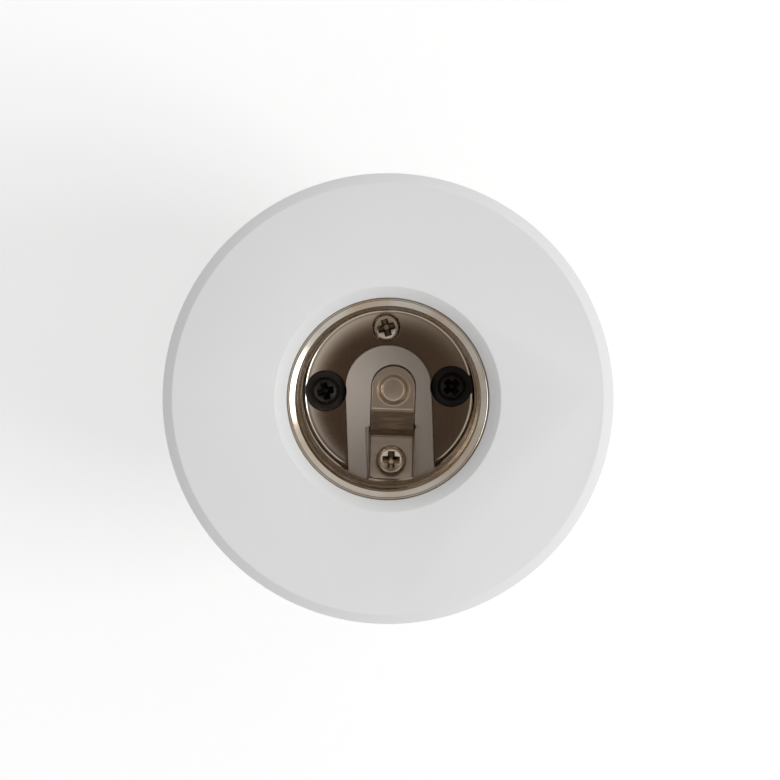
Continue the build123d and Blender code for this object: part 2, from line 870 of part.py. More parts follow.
# Wires from the terminal bushes down to the board, cut off level with it
for seat, name in ((contact_seat, "socket_live_wire"), (shell_seat, "socket_neutral_wire")):
    with BuildPart() as socket_wire:
        with BuildSketch(seat.offset(-bush_web - bush_length)):
            Circle(wire_radius)
        extrude(amount=-(well_bottom - board_top) * 2)
        split(bisect_by=Plane.XY.offset(board_top), keep=Keep.TOP)
    write(socket_wire.part, name)

# Wire soldered inside the cap shell, passing through the spigot's groove and up to the board
with BuildPart() as cap_neutral_wire:
    solder_end = insulator_top + neutral_wire_end_gap
    with BuildSketch(Plane.XY.offset(solder_end)):
        with Locations((0, solder_radius)):
            Circle(wire_radius)
    extrude(amount=board_bottom - solder_end)
write(cap_neutral_wire.part, "cap_neutral_wire")
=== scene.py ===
import math

import bmesh
import bpy
from mathutils import Matrix, Vector


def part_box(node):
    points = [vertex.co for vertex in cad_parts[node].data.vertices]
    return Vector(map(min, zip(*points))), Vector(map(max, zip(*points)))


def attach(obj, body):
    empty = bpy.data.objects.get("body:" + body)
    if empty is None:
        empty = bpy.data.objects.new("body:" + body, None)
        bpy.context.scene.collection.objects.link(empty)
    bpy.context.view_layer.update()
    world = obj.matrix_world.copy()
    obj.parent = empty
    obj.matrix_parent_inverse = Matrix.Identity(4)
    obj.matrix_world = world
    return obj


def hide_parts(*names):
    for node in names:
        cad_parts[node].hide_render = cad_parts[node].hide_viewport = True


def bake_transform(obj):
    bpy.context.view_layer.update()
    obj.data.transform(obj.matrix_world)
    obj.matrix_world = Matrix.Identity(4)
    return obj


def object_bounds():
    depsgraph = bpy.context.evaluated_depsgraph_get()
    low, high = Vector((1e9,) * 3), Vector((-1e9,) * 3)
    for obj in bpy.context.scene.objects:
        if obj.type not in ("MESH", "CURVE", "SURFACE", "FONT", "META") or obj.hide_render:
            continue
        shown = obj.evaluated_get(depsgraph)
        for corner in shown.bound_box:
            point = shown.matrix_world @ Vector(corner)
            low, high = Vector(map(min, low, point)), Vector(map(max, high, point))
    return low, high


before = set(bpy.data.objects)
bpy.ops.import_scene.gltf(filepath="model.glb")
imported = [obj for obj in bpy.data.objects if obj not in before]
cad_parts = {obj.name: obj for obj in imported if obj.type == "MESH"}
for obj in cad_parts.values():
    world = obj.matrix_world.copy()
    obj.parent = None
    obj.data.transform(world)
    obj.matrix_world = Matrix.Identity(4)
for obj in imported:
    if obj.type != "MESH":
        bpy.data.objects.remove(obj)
cad_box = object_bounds()


# Lower housing. Injection moulded in white half-gloss plastic, with a cone down to the neck and a spigot
# for the lamp cap. Its moulded edges are broken by a small radius.
mm = 0.001
moulded_edge = 0.18 * mm
broken_from = math.radians(25)
white_plastic_color = (0.80, 0.80, 0.80)
white_plastic_roughness = 0.42
moulding_grain = 2600.0
moulding_relief = 0.004 * mm
same_point = 0.002 * mm
cut_width = 0.001 * mm
on_cut = 0.0011 * mm
quarter_place = Vector((0.0, 0.7 * mm, 0.0))
quarter_cuts = (Vector((1, 0, 0)), Vector((0, 1, 0)))
flat_within = math.radians(0.4)
straight_within = math.radians(0.1)


def surface_group(name, inputs):
    """Shader group for one kind of surface; it gives out a colour, a roughness and a relief height."""
    group = bpy.data.node_groups.new(name, "ShaderNodeTree")
    for socket, kind in inputs:
        group.interface.new_socket(socket, in_out="INPUT", socket_type="NodeSocket" + kind)
    for socket, kind in (("Color", "Color"), ("Roughness", "Float"), ("Height", "Float")):
        group.interface.new_socket(socket, in_out="OUTPUT", socket_type="NodeSocket" + kind)
    return group, group.nodes.new("NodeGroupInput"), group.nodes.new("NodeGroupOutput")


def connect(tree, *links):
    """Join pairs of node sockets."""
    for start, end in links:
        tree.links.new(start, end)


moulded_skin, skin_in, skin_out = surface_group(
    "moulded_skin",
    (("Color", "Color"), ("Roughness", "Float"), ("Grain Scale", "Float")),
)
skin_place = moulded_skin.nodes.new("ShaderNodeTexCoord")
skin_grain = moulded_skin.nodes.new("ShaderNodeTexNoise")
skin_grain.inputs["Detail"].default_value = 5.0
skin_flow = moulded_skin.nodes.new("ShaderNodeTexNoise")
skin_flow.inputs["Scale"].default_value = 60.0
skin_flow.inputs["Detail"].default_value = 2.0
skin_shade = moulded_skin.nodes.new("ShaderNodeMapRange")
skin_shade.inputs["To Min"].default_value = 0.985
skin_shade.inputs["To Max"].default_value = 1.015
skin_tint = moulded_skin.nodes.new("ShaderNodeVectorMath")
skin_tint.operation = "SCALE"
skin_gloss = moulded_skin.nodes.new("ShaderNodeMapRange")
skin_gloss.inputs["To Min"].default_value = 0.92
skin_gloss.inputs["To Max"].default_value = 1.08
skin_rough = moulded_skin.nodes.new("ShaderNodeMath")
skin_rough.operation = "MULTIPLY"
connect(
    moulded_skin,
    (skin_place.outputs["Object"], skin_grain.inputs["Vector"]),
    (skin_place.outputs["Object"], skin_flow.inputs["Vector"]),
    (skin_in.outputs["Grain Scale"], skin_grain.inputs["Scale"]),
    (skin_flow.outputs["Fac"], skin_shade.inputs["Value"]),
    (skin_in.outputs["Color"], skin_tint.inputs[0]),
    (skin_shade.outputs["Result"], skin_tint.inputs["Scale"]),
    (skin_tint.outputs["Vector"], skin_out.inputs["Color"]),
    (skin_grain.outputs["Fac"], skin_gloss.inputs["Value"]),
    (skin_gloss.outputs["Result"], skin_rough.inputs[0]),
    (skin_in.outputs["Roughness"], skin_rough.inputs[1]),
    (skin_rough.outputs["Value"], skin_out.inputs["Roughness"]),
    (skin_grain.outputs["Fac"], skin_out.inputs["Height"]),
)


def surfaced(name, group, values, relief):
    """Material whose colour, roughness and relief come from a surface group with its own values."""
    material = bpy.data.materials.new(name)
    material.use_nodes = True
    tree = material.node_tree
    shader = tree.nodes["Principled BSDF"]
    surface = tree.nodes.new("ShaderNodeGroup")
    surface.node_tree = group
    for socket, value in values.items():
        surface.inputs[socket].default_value = value
    bump = tree.nodes.new("ShaderNodeBump")
    bump.inputs["Distance"].default_value = relief
    connect(
        tree,
        (surface.outputs["Color"], shader.inputs["Base Color"]),
        (surface.outputs["Roughness"], shader.inputs["Roughness"]),
        (surface.outputs["Height"], bump.inputs["Height"]),
        (bump.outputs["Normal"], shader.inputs["Normal"]),
    )
    return material


def moulded(name, color, roughness):
    """Moulded plastic, lacquer or coating of one colour."""
    values = {"Color": (*color, 1.0), "Roughness": roughness, "Grain Scale": moulding_grain}
    return surfaced(name, moulded_skin, values, moulding_relief)


def dress(piece, material):
    """Put one material on a piece or a CAD node."""
    piece.data.materials.clear()
    piece.data.materials.append(material)


def stand_for(piece, node, body, material):
    """Let a finished piece take a CAD node's place on its body."""
    dress(piece, material)
    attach(piece, body)
    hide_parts(node)


def soft_edged(node, body, material, edge=moulded_edge):
    """Copy of a CAD node with its sharp edges broken by a small radius; it stands for the node."""
    form = bmesh.new()
    form.from_mesh(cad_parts[node].data)
    bmesh.ops.remove_doubles(form, verts=form.verts, dist=same_point)
    # Flat faces are merged, and cutting the form in quarters first leaves none of them a closed ring.
    for axis in quarter_cuts:
        whole = form.verts[:] + form.edges[:] + form.faces[:]
        bmesh.ops.bisect_plane(form, geom=whole, plane_co=quarter_place, plane_no=axis, dist=cut_width)
    cut_points = set()
    for axis in quarter_cuts:
        cut_points.update(v for v in form.verts if abs((v.co - quarter_place).dot(axis)) < on_cut)
    bmesh.ops.dissolve_limit(
        form,
        angle_limit=flat_within,
        verts=[v for v in form.verts if v not in cut_points],
        edges=[e for e in form.edges if not cut_points.issuperset(e.verts)],
    )
    straight = [v for v in form.verts if v.calc_edge_angle(math.pi) < straight_within]
    bmesh.ops.dissolve_verts(form, verts=straight)
    mesh = bpy.data.meshes.new(node + "_soft")
    form.to_mesh(mesh)
    form.free()
    mesh.shade_smooth()
    piece = bpy.data.objects.new(node + "_soft", mesh)
    bpy.context.scene.collection.objects.link(piece)
    bevel = piece.modifiers.new("broken_edges", "BEVEL")
    bevel.width = edge
    bevel.segments = 3
    bevel.limit_method = "ANGLE"
    bevel.angle_limit = broken_from
    bevel.harden_normals = True
    stand_for(piece, node, body, material)
    return piece


white_plastic = moulded("white_plastic", white_plastic_color, white_plastic_roughness)
soft_edged("lower_housing", "housing", white_plastic)


# Lamp cap. Nickel plated brass sheet rolled to the right-hand lamp thread and pushed over the housing's
# spigot, with a black insulating plug behind its curled end and a tinned contact riveted through the plug.
thread_pitch = 25.4 / 7 * mm
thread_fade = 0.6 * thread_pitch
thread_depth = 1.1 * mm
thread_samples = 20
cap_sheet = 0.4 * mm
cap_collar = 3.0 * mm
cap_step = 0.9 * mm
cap_turns = 5
cap_curl_drop = 1.6 * mm
cap_curl_radius = 10.6 * mm
cap_skirt = 1.1 * mm
collar_rim = 0.2 * mm
collar_bend = 0.4 * mm
inside_bend = 0.3 * mm
curl_bend = 0.5 * mm
curl_end = 0.25 * mm
curl_lip = 0.12 * mm
hairline = 0.0005 * mm
crease = math.radians(40)
nickel_color = (0.60, 0.55, 0.48)
nickel_stain = (0.54, 0.47, 0.39)
# Painted shade: plated metal takes its stain colour all over below a set height, fading in over this
# distance.
shade_fade = 0.6 * mm

plated_metal, plate_in, plate_out = surface_group(
    "plated_metal",
    (
        ("Color", "Color"),
        ("Stain", "Color"),
        ("Roughness", "Float"),
        ("Stain Scale", "Float"),
        ("Stain Strength", "Float"),
        ("Grain Scale", "Float"),
        ("Grain Stretch", "Vector"),
        ("Shade Below", "Float"),
    ),
)
plate_place = plated_metal.nodes.new("ShaderNodeTexCoord")
plate_stretch = plated_metal.nodes.new("ShaderNodeVectorMath")
plate_stretch.operation = "MULTIPLY"
plate_grain = plated_metal.nodes.new("ShaderNodeTexNoise")
plate_grain.inputs["Detail"].default_value = 4.0
plate_cloud = plated_metal.nodes.new("ShaderNodeTexNoise")
plate_cloud.inputs["Detail"].default_value = 4.0
plate_mask = plated_metal.nodes.new("ShaderNodeMapRange")
plate_mask.inputs["From Min"].default_value = 0.42
plate_mask.inputs["From Max"].default_value = 0.72
# Painted shade: besides the cloudy stains, the stain colour covers everything below a set height and fades
# out upwards, standing in for shade low in the well.
plate_axes = plated_metal.nodes.new("ShaderNodeSeparateXYZ")
plate_shade_top = plated_metal.nodes.new("ShaderNodeMath")
plate_shade_top.operation = "ADD"
plate_shade_top.inputs[1].default_value = shade_fade
plate_painted_shade = plated_metal.nodes.new("ShaderNodeMapRange")
plate_painted_shade.interpolation_type = "SMOOTHSTEP"
plate_painted_shade.inputs["To Min"].default_value = 1.0
plate_painted_shade.inputs["To Max"].default_value = 0.0
plate_stain_and_shade = plated_metal.nodes.new("ShaderNodeMath")
plate_stain_and_shade.operation = "MAXIMUM"
plate_tone = plated_metal.nodes.new("ShaderNodeMix")
plate_tone.data_type = "RGBA"
plate_gloss = plated_metal.nodes.new("ShaderNodeMapRange")
plate_gloss.inputs["To Min"].default_value = 0.80
plate_gloss.inputs["To Max"].default_value = 1.25
plate_rough = plated_metal.nodes.new("ShaderNodeMath")
plate_rough.operation = "MULTIPLY"
connect(
    plated_metal,
    (plate_place.outputs["Object"], plate_stretch.inputs[0]),
    (plate_in.outputs["Grain Stretch"], plate_stretch.inputs[1]),
    (plate_stretch.outputs["Vector"], plate_grain.inputs["Vector"]),
    (plate_in.outputs["Grain Scale"], plate_grain.inputs["Scale"]),
    (plate_place.outputs["Object"], plate_cloud.inputs["Vector"]),
    (plate_in.outputs["Stain Scale"], plate_cloud.inputs["Scale"]),
    (plate_in.outputs["Stain Strength"], plate_mask.inputs["To Max"]),
    (plate_cloud.outputs["Fac"], plate_mask.inputs["Value"]),
    (plate_place.outputs["Object"], plate_axes.inputs["Vector"]),
    (plate_axes.outputs["Z"], plate_painted_shade.inputs["Value"]),
    (plate_in.outputs["Shade Below"], plate_painted_shade.inputs["From Min"]),
    (plate_in.outputs["Shade Below"], plate_shade_top.inputs[0]),
    (plate_shade_top.outputs["Value"], plate_painted_shade.inputs["From Max"]),
    (plate_mask.outputs["Result"], plate_stain_and_shade.inputs[0]),
    (plate_painted_shade.outputs["Result"], plate_stain_and_shade.inputs[1]),
    (plate_stain_and_shade.outputs["Value"], plate_tone.inputs["Factor"]),
    (plate_in.outputs["Color"], plate_tone.inputs["A"]),
    (plate_in.outputs["Stain"], plate_tone.inputs["B"]),
    (plate_tone.outputs["Result"], plate_out.inputs["Color"]),
    (plate_grain.outputs["Fac"], plate_gloss.inputs["Value"]),
    (plate_gloss.outputs["Result"], plate_rough.inputs[0]),
    (plate_in.outputs["Roughness"], plate_rough.inputs[1]),
    (plate_rough.outputs["Value"], plate_out.inputs["Roughness"]),
    (plate_grain.outputs["Fac"], plate_out.inputs["Height"]),
)


def plated(
    name,
    color,
    stain_and_shade,
    roughness,
    grain=1500.0,
    stretch=(1, 1, 1),
    relief=0.003 * mm,
    clouds=160.0,
    cloudy=1.0,
    shade_below=-1.0,
):
    """Bare or plated metal with a faint grain, cloudy stains and painted shade in the stain colour below a
    height.
    """
    values = {
        "Color": (*color, 1.0),
        "Stain": (*stain_and_shade, 1.0),
        "Roughness": roughness,
        "Stain Scale": clouds,
        "Stain Strength": cloudy,
        "Grain Scale": grain,
        "Grain Stretch": stretch,
        "Shade Below": shade_below,
    }
    material = surfaced(name, plated_metal, values, relief)
    material.node_tree.nodes["Principled BSDF"].inputs["Metallic"].default_value = 1.0
    return material


def smooth_step(share):
    """Smooth rise from 0 to 1."""
    share = min(max(share, 0.0), 1.0)
    return share * share * (3 - 2 * share)


def thread_wave(height, turn, low, high, start=0.0):
    """How far a rolled right-hand thread stands out, 0 to 1; it fades out at both ends."""
    fade = smooth_step(min(height - low, high - height) / thread_fade)
    phase = 2 * math.pi * (height - start) / thread_pitch - turn
    return fade * (0.5 + 0.5 * math.cos(phase))


def spaced(start, end, count):
    """Evenly spaced values from start to end."""
    return [start + (end - start) * step / count for step in range(count + 1)]


def rounded(corners, steps=5):
    """Outline from corners of (radius, height, rounding); a rounding reaches that far along both sides."""
    points = []
    for place, (radius, height, rounding) in enumerate(corners):
        corner = Vector((radius, height))
        if not rounding:
            points.append(corner)
            continue
        before = Vector(corners[place - 1][:2]) - corner
        after = Vector(corners[(place + 1) % len(corners)][:2]) - corner
        start = corner + before.normalized() * rounding
        end = corner + after.normalized() * rounding
        for share in spaced(0.0, 1.0, steps):
            points.append(start.lerp(corner, share).lerp(corner.lerp(end, share), share))
    return points


def meshed(name, points, faces):
    """Smooth closed mesh piece with its normals turned out and its real corners kept sharp."""
    mesh = bpy.data.meshes.new(name)
    mesh.from_pydata(points, [], faces)
    form = bmesh.new()
    form.from_mesh(mesh)
    bmesh.ops.remove_doubles(form, verts=form.verts, dist=hairline)
    bmesh.ops.recalc_face_normals(form, faces=form.faces)
    form.to_mesh(mesh)
    form.free()
    mesh.shade_smooth()
    mesh.set_sharp_from_angle(angle=crease)
    piece = bpy.data.objects.new(name, mesh)
    bpy.context.scene.collection.objects.link(piece)
    return piece


def turned(name, outline_at, around=144):
    """Piece turned about Z; outline_at gives its closed outline of (radius, height) at each angle."""
    points = []
    for step in range(around):
        turn = 2 * math.pi * step / around
        outline = outline_at(turn)
        points += [(r * math.cos(turn), r * math.sin(turn), z) for r, z in outline]
    count = len(outline)
    faces = []
    for step in range(around):
        here = step * count
        there = (step + 1) % around * count
        for place in range(count):
            after = (place + 1) % count
            faces.append((here + place, there + place, there + after, here + after))
    return meshed(name, points, faces)


nickel_plate = plated("nickel_plate", nickel_color, nickel_stain, roughness=0.20, relief=0.001 * mm)
cap_low, cap_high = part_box("cap_shell")
cap_crest = cap_high.x
cap_root = cap_crest - thread_depth
cap_curl_end = cap_low.z
cap_curl_top = cap_curl_end + cap_curl_drop
cap_thread_low = cap_curl_top + cap_skirt
cap_thread_high = -cap_collar


def cap_outline(turn):
    """Section of the cap shell: collar, rolled thread and curled end, one sheet thick."""
    heights = spaced(cap_thread_high - cap_step, cap_thread_low, cap_turns * thread_samples)
    waves = [thread_wave(z, turn, cap_thread_low - thread_fade / 2, cap_thread_high) for z in heights]
    outside = [(cap_root + thread_depth * wave, z) for wave, z in zip(waves, heights)]
    inside = [(cap_root + thread_depth * wave - cap_sheet, z) for wave, z in zip(waves, heights)]
    top = rounded(
        (
            (inside[0][0], inside[0][1], 0),
            (cap_crest - cap_sheet, cap_thread_high, inside_bend),
            (cap_crest - cap_sheet, 0.0, 0),
            (cap_crest, 0.0, collar_rim),
            (cap_crest, cap_thread_high, collar_bend),
            (outside[0][0], outside[0][1], 0),
        )
    )
    curl = rounded(
        (
            (outside[-1][0], outside[-1][1], 0),
            (cap_root, cap_curl_top, curl_bend),
            (cap_curl_radius, cap_curl_end, curl_end),
            (cap_curl_radius - cap_sheet, cap_curl_end, curl_lip),
            (cap_curl_radius - cap_sheet, cap_curl_top - cap_sheet, inside_bend),
            (cap_root - cap_sheet, cap_curl_top + cap_sheet, inside_bend),
            (inside[-1][0], inside[-1][1], 0),
        )
    )
    return top[1:-1] + outside + curl[1:-1] + inside[::-1]


cap_shell = turned("cap_shell_rolled", cap_outline, around=180)
stand_for(cap_shell, "cap_shell", "housing", nickel_plate)

plug_low, plug_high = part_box("cap_insulator")
plug_radius = plug_high.x
plug_play = 0.08 * mm
plug_neck = cap_curl_radius - cap_sheet - plug_play
plug_tip_radius = 5.8 * mm
plug_back = 0.4 * mm
plug_shoulder = 0.3 * mm
plug_groove = 0.2 * mm
plug_crown = 0.9 * mm
plug_tip = 0.8 * mm
rivet_hole = 2.05 * mm
plug_section = rounded(
    (
        (rivet_hole, plug_high.z, 0),
        (plug_radius, plug_high.z, plug_back),
        (plug_radius, cap_curl_top, plug_shoulder),
        (plug_neck, cap_curl_top, plug_groove),
        (plug_neck, cap_curl_end, plug_crown),
        (plug_tip_radius, plug_low.z, plug_tip),
        (rivet_hole, plug_low.z, 0),
    )
)
black_plug = moulded("black_plug", (0.018, 0.018, 0.020), 0.28)
plug = turned("cap_insulator_moulded", lambda turn: plug_section)
stand_for(plug, "cap_insulator", "housing", black_plug)

rivet_low, rivet_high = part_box("cap_contact")
rivet_radius = rivet_high.x
rivet_play = 0.05 * mm
rivet_stem = rivet_hole - rivet_play
rivet_flat = 0.72 * rivet_radius
rivet_side = 0.35 * mm
rivet_seat = 0.15 * mm
rivet_edge = 0.2 * mm
rivet_dome = 1.1 * mm
rivet_section = rounded(
    (
        (0.0, rivet_high.z, 0),
        (rivet_stem, rivet_high.z, rivet_edge),
        (rivet_stem, plug_low.z, 0),
        (rivet_radius, plug_low.z, rivet_seat),
        (rivet_radius, plug_low.z - rivet_side, rivet_edge),
        (rivet_flat, rivet_low.z, rivet_dome),
        (0.0, rivet_low.z, 0),
    )
)
tinned = plated(
    "tinned",
    (0.62, 0.60, 0.57),
    (0.46, 0.44, 0.41),
    roughness=0.40,
    grain=700.0,
    relief=0.02 * mm,
)
rivet = turned("cap_contact_tinned", lambda turn: rivet_section)
stand_for(rivet, "cap_contact", "housing", tinned)


# Circuit board and the parts soldered to it. Glass board with green solder mask, resting on the housing's
# ribs. Relay, transformer, capacitors, varistor, fuse resistor and rectifier are below it, with the radio
# module and the switch on top.
inner_plastics = {
    "circuit_board": ((0.05, 0.22, 0.10), 0.35),
    "relay": ((0.03, 0.10, 0.33), 0.38),
    "transformer": ((0.75, 0.58, 0.10), 0.45),
    "film_capacitor": ((0.55, 0.12, 0.06), 0.34),
    "smoothing_capacitor": ((0.05, 0.05, 0.07), 0.30),
    "output_capacitor": ((0.05, 0.05, 0.07), 0.30),
    "varistor": ((0.08, 0.22, 0.45), 0.48),
    "fuse_resistor": ((0.22, 0.42, 0.30), 0.45),
    "bridge_rectifier": ((0.03, 0.03, 0.03), 0.50),
    "tact_switch": ((0.03, 0.03, 0.03), 0.48),
}
for node, (color, roughness) in inner_plastics.items():
    dress(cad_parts[node], moulded(node + "_finish", color, roughness))
shield_can = plated(
    "shield_can",
    (0.65, 0.66, 0.67),
    (0.55, 0.55, 0.55),
    roughness=0.36,
    stretch=(1.0, 0.1, 1.0),
)
dress(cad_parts["radio_module"], shield_can)


# Wires. Single strands in red insulation for live and black for neutral, soldered to the board. One pair
# comes up from the lamp cap, and the other comes down from the socket's terminals.
live_red = (0.50, 0.04, 0.03)
neutral_black = (0.03, 0.03, 0.03)
wire_colors = {
    "cap_live_wire": live_red,
    "socket_live_wire": live_red,
    "cap_neutral_wire": neutral_black,
    "socket_neutral_wire": neutral_black,
}
insulation_roughness = 0.42
for node, color in wire_colors.items():
    dress(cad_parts[node], moulded(node + "_insulation", color, insulation_roughness))


# Pairing button with the switch plunger behind it, and the clear light pipe beside it with its status
# light. The button slides in a hole in the housing's front wall; the pipe is pressed into its own.
pipe_edge = 0.25 * mm
soft_edged("pair_button", "button", white_plastic)
dress(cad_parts["switch_plunger"], moulded("plunger_finish", (0.03, 0.03, 0.03), 0.45))
clear_plastic = moulded("clear_plastic", (0.92, 0.93, 0.94), 0.12)
clear_shader = clear_plastic.node_tree.nodes["Principled BSDF"]
clear_shader.inputs["Transmission Weight"].default_value = 1.0
clear_shader.inputs["IOR"].default_value = 1.49
soft_edged("light_pipe", "housing", clear_plastic, pipe_edge)
dress(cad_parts["status_light"], moulded("light_body", (0.88, 0.87, 0.80), 0.35))


# Top cover. The same white plastic, moulded in one with the well that holds the socket; it snaps over the
# lower housing's lip.
soft_edged("top_cover", "housing", white_plastic)


# Contact block with its two brass terminal bushes. Pale grey thermoset, moulded as a base under the shell
# and an arch that stands up through the window in the shell's floor.
block_edge = 0.12 * mm
# Painted light: the block's warm beige is partly the grey thermoset's own colour and partly light bounced
# off the nickel shell, painted in.
block_plastic = moulded("block_plastic", (0.88, 0.80, 0.73), 0.45)
soft_edged("contact_block", "housing", block_plastic, block_edge)
turned_brass = plated("turned_brass", (0.76, 0.58, 0.28), (0.60, 0.42, 0.18), roughness=0.28)
for node in ("live_terminal", "neutral_terminal"):
    dress(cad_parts[node], turned_brass)


# Screw shell of the socket. Nickel plated sheet drawn to a cup, rolled to the lamp thread, with a rolled
# rim and a window in its floor for the block's arch; it sits in the cover's well.
shell_sheet = 0.4 * mm
shell_crest = 12.55 * mm
shell_root = shell_crest + thread_depth
shell_plain = 12.9 * mm
shell_corner = 0.65 * mm
corner_sweep = math.radians(84)
corner_steps = 6
shell_turns = 4
floor_flat = 8.5 * mm
floor_dish = 0.25 * mm
floor_uneven = 0.4
floor_high_side = math.radians(188)
floor_steps = 10
rim_width = 1.05 * mm
rim_height = 1.0 * mm
rim_spring = 0.1 * mm
roll = 0.3 * mm
roll_steps = 6
rim_slope = 0.26 * mm
rim_even = 0.75
crown_steps = 8
rim_lip = 0.1 * mm
neck_run = 1.0 * mm
thread_lead = 0.85 * mm
runout = 2.2 * mm
shell_low, shell_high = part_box("socket_shell")
rim_top = shell_high.z
rim_outer = shell_high.x + rim_spring
rim_inner = shell_high.x - rim_width
floor_top = shell_low.z + shell_sheet
shell_thread_high = rim_top - rim_height
shell_thread_low = shell_thread_high - shell_turns * thread_pitch
arch_centre = (0.0, 0.85 * mm)
arch_radius = 6.4 * mm
window_clearance = 0.15 * mm
window_steps = 40
past_wall = 1.2
arch_top = 51.2 * mm
fixing_places = ((-9.45 * mm, 0.7 * mm), (9.45 * mm, 0.7 * mm))
shell_screw_place = (0.0, 9.9 * mm)
shell_screw_hole = 1.45 * mm
fixing_hole = 1.7 * mm


def shell_inside(height, turn):
    """Inside radius of the screw shell's wall."""
    root = rim_inner + (shell_root - rim_inner) * smooth_step((shell_thread_high - height) / neck_run)
    root += (shell_plain - shell_root) * smooth_step((shell_thread_low + runout - height) / runout)
    thread_end = shell_thread_high + thread_fade / 3
    wave = thread_wave(height, turn, shell_thread_low, thread_end, start=rim_top - thread_lead)
    return root - (root - shell_crest) * wave


def shell_outline(turn):
    """Section of the screw shell: rolled rim, thread, plain wall and floor, one sheet thick."""
    heights = spaced(shell_thread_high, shell_thread_low, shell_turns * thread_samples)
    inside = [(shell_inside(z, turn), z) for z in heights]
    outside = [(radius + shell_sheet, z) for radius, z in inside]
    quarter = spaced(0.0, math.pi / 2, roll_steps)
    rim = [
        (rim_outer - roll * (1 - math.cos(a)), rim_top - roll * (1 - math.sin(a)))
        for a in quarter[:-1]
    ]
    crown = rim_outer - rim_inner - roll - rim_lip
    rim += [
        (
            rim_outer - roll - crown * share,
            rim_top - rim_slope * share * (rim_even + (1 - rim_even) * share),
        )
        for share in spaced(0.0, 1.0, crown_steps)
    ]
    rim += [
        (rim_inner + rim_lip * (1 - math.sin(a)), rim_top - rim_slope - rim_lip * (1 - math.cos(a)))
        for a in quarter[1:]
    ]
    floor_edge = shell_plain - shell_corner
    dish = floor_dish * (1 + floor_uneven * math.cos(turn - floor_high_side))
    corner_height = floor_top + dish + shell_corner
    corner = spaced(0.0, corner_sweep, corner_steps)
    fillet = [
        (floor_edge + shell_corner * math.cos(a), corner_height - shell_corner * math.sin(a))
        for a in corner
    ]
    fillet += [
        (floor_flat + (floor_edge - floor_flat) * share, floor_top + dish * share**2)
        for share in spaced(1.0, 0.0, floor_steps)
    ]
    back = shell_corner + shell_sheet
    under = [(floor_edge + back * math.cos(a), corner_height - back * math.sin(a)) for a in corner]
    under += [(radius, height - shell_sheet) for radius, height in fillet[len(corner):]]
    return (
        [(rim_outer, shell_thread_high)]
        + rim
        + inside
        + fillet
        + [(0.0, floor_top), (0.0, shell_low.z)]
        + under[::-1]
        + outside[::-1]
    )


def prism(name, outline, low, high, low_scale=1.0):
    """Upright solid on an outline of (x, y), drawn in towards its centre at the lower end."""
    count = len(outline)
    points = [(x * low_scale, y * low_scale, low) for x, y in outline]
    points += [(x, y, high) for x, y in outline]
    sides = [(i, (i + 1) % count, (i + 1) % count + count, i + count) for i in range(count)]
    return meshed(name, points, sides + [tuple(range(count)), tuple(range(count, 2 * count))])


def circle(centre, radius, count=48):
    """Outline of a circle."""
    turns = [2 * math.pi * (step + 0.5) / count for step in range(count)]
    return [(centre[0] + radius * math.cos(turn), centre[1] + radius * math.sin(turn)) for turn in turns]


def carve(piece, cutters):
    """Take the cutters' shapes out of a piece, and the cutters out of the scene."""
    for cutter in cutters:
        step = piece.modifiers.new("cut", "BOOLEAN")
        step.object = cutter
        step.operation = "DIFFERENCE"
        step.solver = "EXACT"
    view = bpy.context.evaluated_depsgraph_get()
    mesh = bpy.data.meshes.new_from_object(piece.evaluated_get(view))
    piece.modifiers.clear()
    whole = piece.data
    piece.data = mesh
    bpy.data.meshes.remove(whole)
    for cutter in cutters:
        bpy.data.meshes.remove(cutter.data)
    form = bmesh.new()
    form.from_mesh(mesh)
    bmesh.ops.remove_doubles(form, verts=form.verts, dist=same_point)
    bmesh.ops.dissolve_degenerate(form, edges=form.edges, dist=same_point)
    form.to_mesh(mesh)
    form.free()
    mesh.shade_smooth()
    mesh.set_sharp_from_angle(angle=crease)
    return piece


window_radius = arch_radius + window_clearance
window_end = -past_wall * shell_plain
window = [
    (arch_centre[0] + window_radius * math.cos(turn), arch_centre[1] + window_radius * math.sin(turn))
    for turn in spaced(0.0, math.pi, window_steps)
]
window += [(-window_radius, window_end), (window_radius, window_end)]
below_floor = shell_low.z - shell_sheet
above_floor = floor_top + 0.2 * mm
shell_cutters = [prism("window", window, below_floor, arch_top + window_clearance)]
holes = [(shell_screw_place, shell_screw_hole)] + [(place, fixing_hole) for place in fixing_places]
for place, radius in holes:
    shell_cutters.append(prism("screw_hole", circle(place, radius), below_floor, above_floor))
shell = carve(turned("socket_shell_rolled", shell_outline, around=192), shell_cutters)
# Painted shade: the cup's floor and its corner take the darker brown stain colour, standing in for shade
# and dark reflections at the bottom of the well; the same colour also makes the cloudy stains.
inside_nickel = plated(
    "inside_nickel",
    nickel_color,
    (0.50, 0.39, 0.29),
    roughness=0.13,
    relief=0.0003 * mm,
    shade_below=floor_top,
)
stand_for(shell, "socket_shell", "housing", inside_nickel)


# Screws. Two zinc plated pan head screws hold the leaf's foot and the shell to the terminals; two black
# washer head screws hold the whole socket down in the well. All have a tapered cross recess and a rolled
# thread.
recess_reach = 1.4 * mm
recess_arm = 0.55 * mm
recess_depth = 2.0 * mm
recess_taper = 0.22
recess_above = 0.1 * mm
screw_thread_depth = 0.2 * mm
screw_samples = 8
tip_taper = 0.6
tip_flat = 0.5
head_square = 0.62
head_steps = 18
head_seat = 0.97


def cross_recess(top):
    """Cutter for a cross recess that goes down from a height."""
    outline = []
    for quarter, (x, y) in enumerate(((1, 1), (-1, 1), (-1, -1), (1, -1))):
        arm = math.pi / 2 * (quarter + 1)
        along = Vector((math.cos(arm), math.sin(arm))) * recess_reach
        across = Vector((math.sin(arm), -math.cos(arm))) * recess_arm
        outline += [(x * recess_arm, y * recess_arm), tuple(along + across), tuple(along - across)]
    return prism("recess", outline, top - recess_depth, top + recess_above, recess_taper)


